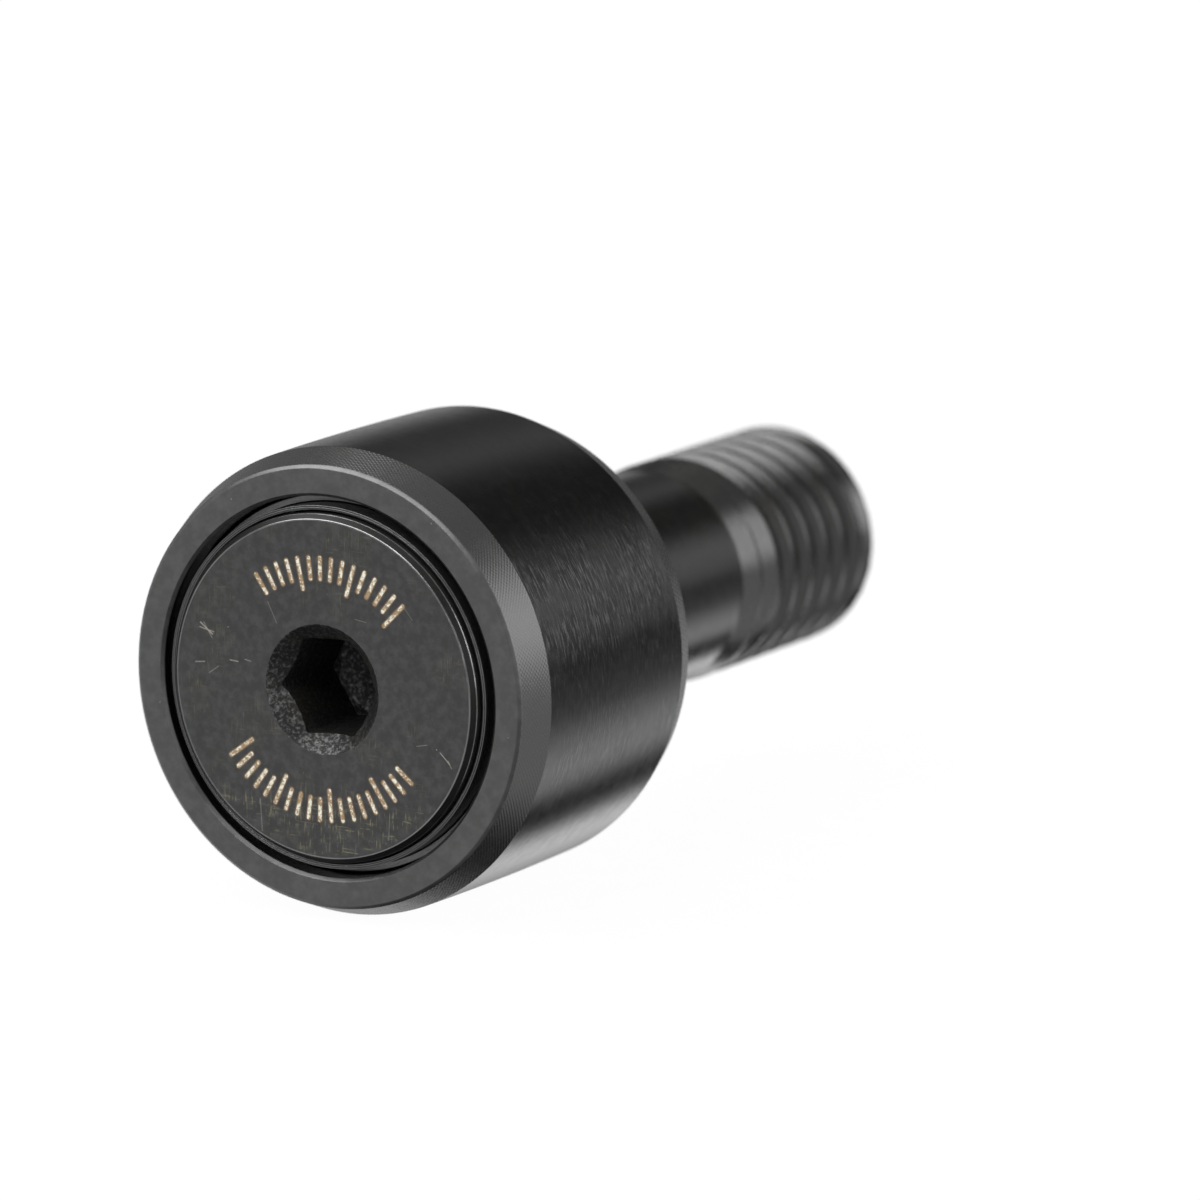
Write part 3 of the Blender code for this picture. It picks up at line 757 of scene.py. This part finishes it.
# ---- floor -----------------------------------------------------------------
def make_floor():
    size = 0.9
    level = -7.9375 * MM
    n = 24
    g1 = np.linspace(-1, 1, n + 1)
    w = np.sign(g1) * np.abs(g1) ** 2 * size
    X, Y = np.meshgrid(w, w, indexing="ij")
    verts = np.stack([X.ravel(), Y.ravel() + MID_Y * MM, np.full(X.size, level)], -1)
    faces = [[i * (n + 1) + k, (i + 1) * (n + 1) + k, (i + 1) * (n + 1) + k + 1, i * (n + 1) + k + 1]
             for i in range(n) for k in range(n)]
    mesh = bpy.data.meshes.new("floor")
    mesh.from_pydata(verts.tolist(), [], faces)
    ob = bpy.data.objects.new("floor", mesh)
    bpy.context.scene.collection.objects.link(ob)
    mat = bpy.data.materials.new("floor_paper")
    mat.use_nodes = True
    g = Graph(mat.node_tree)
    out = g.node("ShaderNodeOutputMaterial")
    paper = g.node("ShaderNodeBsdfDiffuse")
    tc = g.node("ShaderNodeTexCoord")
    grain = g.noise(tc.outputs["Object"], 900.0, 3.0, 0.6)
    g.put(paper.inputs["Color"], g.mix(grain, (0.985, 0.985, 0.985), (0.995, 0.995, 0.995)))
    glow = g.node("ShaderNodeEmission")
    glow.inputs["Strength"].default_value = 1.0
    g.put(glow.inputs["Color"], g.mix(grain, (0.985, 0.985, 0.985), (1.0, 1.0, 1.0)))
    lit = g.node("ShaderNodeMixShader")
    lit.inputs[0].default_value = 0.985
    g.put(lit.inputs[1], paper.outputs[0])
    g.put(lit.inputs[2], glow.outputs[0])
    clear = g.node("ShaderNodeBsdfTransparent")
    geo = g.node("ShaderNodeNewGeometry")
    mixer = g.node("ShaderNodeMixShader")
    g.put(mixer.inputs[0], geo.outputs["Backfacing"])
    g.put(mixer.inputs[1], lit.outputs[0])
    g.put(mixer.inputs[2], clear.outputs[0])
    g.put(out.inputs[0], mixer.outputs[0])
    mesh.materials.append(mat)
    ob.visible_glossy = False
    ob.visible_diffuse = False
    ob.visible_shadow = False
    return ob


make_floor()


# ---- light: one soft studio round the part ---------------------------------
# panels behind the part: clock angle about the stud axis (0 at +X, 90 up), radiance
BACK_PANELS = [
    (-180.0, 0.38), (-172.0, 0.36), (-162.0, 0.20), (-150.0, 0.30), (-138.0, 0.48), (-126.0, 0.85),
    (-114.0, 1.45), (-101.0, 1.40), (-95.0, 0.10), (-84.0, 0.02), (-75.0, 0.05), (-66.0, 0.95),
    (-55.0, 1.25), (-43.0, 0.87), (-30.0, 0.30), (-18.0, 0.20), (-5.4, 0.13), (5.4, 0.45),
    (18.0, 0.58), (30.0, 0.62), (43.0, 0.38), (55.0, 0.12), (66.0, 0.03), (90.0, 0.03),
    (102.0, 0.10), (114.0, 0.25), (125.0, 0.17), (137.0, 0.10), (150.0, 0.06), (180.0, 0.38),
]


def make_world():
    world = bpy.data.worlds.new("studio")
    bpy.context.scene.world = world
    world.use_nodes = True
    g = Graph(world.node_tree)
    out = g.node("ShaderNodeOutputWorld")
    tc = g.node("ShaderNodeTexCoord")
    sep = g.node("ShaderNodeSeparateXYZ")
    g.put(sep.inputs[0], tc.outputs["Generated"])
    x, y, z = sep.outputs
    el = g.mul(g.m("ARCSINE", z), 57.29578)
    az = g.mul(g.m("ARCTAN2", x, y), 57.29578)      # 0 along +Y, 90 along +X

    def turn_from(c):
        """Azimuth measured from c, -180..180."""
        return g.sub(g.m("FLOORED_MODULO", g.sub(az, c - 180.0), 360.0), 180.0)

    def soft_box(c, wide, low, high, soft_az, soft_el):
        d = g.m("ABSOLUTE", turn_from(c))
        return g.mul(g.ramp(d, wide - soft_az / 2, wide + soft_az / 2, 1.0, 0.0),
                     g.band(el, low, high, soft_el))

    # behind the part: panels set round the stud axis, by clock angle
    clock = g.mul(g.m("ARCTAN2", z, x), 57.29578)
    wheel = g.node("ShaderNodeValToRGB")
    stops = wheel.color_ramp.elements
    while len(stops) > 1:
        stops.remove(stops[-1])
    for n, (c, v) in enumerate(BACK_PANELS):
        q = (c + 180.0) / 360.0
        e = stops[0] if n == 0 else stops.new(q)
        e.position = q
        e.color = (v / 2.0, v / 2.0, v / 2.0, 1.0)
    wheel.color_ramp.interpolation = "LINEAR"
    g.put(wheel.inputs[0], g.ramp(clock, -180.0, 180.0, 0.0, 1.0, False))
    behind = g.mul(wheel.outputs[0], 2.0, g.ramp(y, 0.88, 0.97, 1.0, 0.62))
    near = g.ramp(y, 0.64, 0.75)
    # the rest of the room
    base = g.add(
        g.mul(g.ramp(el, -58.0, -46.0), 0.34),
        g.mul(g.ramp(el, 20.0, 44.0), 0.10),
        g.mul(g.ramp(el, 44.0, 58.0), 0.32),
    )
    side = soft_box(74.0, 34.0, -48.0, -4.0, 12.0, 8.0)
    base = g.add(base, g.mul(side, 0.95))
    table = soft_box(-60.0, 34.0, -56.0, -14.0, 14.0, 12.0)
    base = g.add(base, g.mul(table, 0.75))
    # pale table and wall in front of the part
    front = soft_box(-148.0, 66.0, -62.0, 16.0, 22.0, 16.0)
    base = g.add(g.mul(base, g.sub(1.0, front)), g.mul(front, 1.20))
    # window of light at the right, and a large one over the front
    key = soft_box(75.0, 38.0, 2.0, 38.0, 12.0, 18.0)
    key2 = soft_box(118.0, 16.0, -6.0, 30.0, 12.0, 12.0)
    over = soft_box(-148.0, 52.0, 33.0, 61.0, 22.0, 12.0)
    high = soft_box(-78.0, 30.0, 58.0, 88.0, 16.0, 6.0)
    room = g.add(base, g.mul(key, 3.9), g.mul(key2, 1.9), g.mul(over, 7.5), g.mul(high, 4.8))
    total = g.add(g.mul(room, g.sub(1.0, near)), g.mul(behind, near))
    lp = g.node("ShaderNodeLightPath")
    strength = g.add(g.mul(total, g.sub(1.0, lp.outputs["Is Camera Ray"])),
                     g.mul(lp.outputs["Is Camera Ray"], 0.985))
    bg = g.node("ShaderNodeBackground")
    bg.inputs["Color"].default_value = (1.0, 1.0, 1.0, 1.0)
    g.put(bg.inputs["Strength"], strength)
    g.put(out.inputs[0], bg.outputs[0])


make_world()
bpy.context.scene.view_settings.view_transform = "Standard"


# ---- camera ----------------------------------------------------------------
def make_camera():
    az, el = math.radians(31.603), math.radians(12.005)
    b0 = Vector((math.sin(az) * math.cos(el), -math.cos(az) * math.cos(el), math.sin(el)))
    right0 = Vector((math.cos(az), math.sin(az), 0.0))
    up0 = b0.cross(right0)
    place = b0 * 283.026
    target = right0 * 6.241 + up0 * 1.918
    back = (place - target).normalized()
    right = Vector((0, 0, 1)).cross(back).normalized()
    up = back.cross(right)
    cam = bpy.data.cameras.new("camera")
    cam.lens = 253.09
    cam.sensor_width = 36.0
    cam.sensor_fit = "HORIZONTAL"
    cam.clip_start = 0.01
    cam.clip_end = 10.0
    cam.dof.use_dof = True
    cam.dof.focus_distance = 0.2775
    cam.dof.aperture_fstop = 72.0
    ob = bpy.data.objects.new("camera", cam)
    bpy.context.scene.collection.objects.link(ob)
    m = Matrix((right, up, back)).transposed().to_4x4()
    m.translation = (place + Vector((0, MID_Y, 0))) * MM
    ob.matrix_world = m
    bpy.context.scene.camera = ob


make_camera()
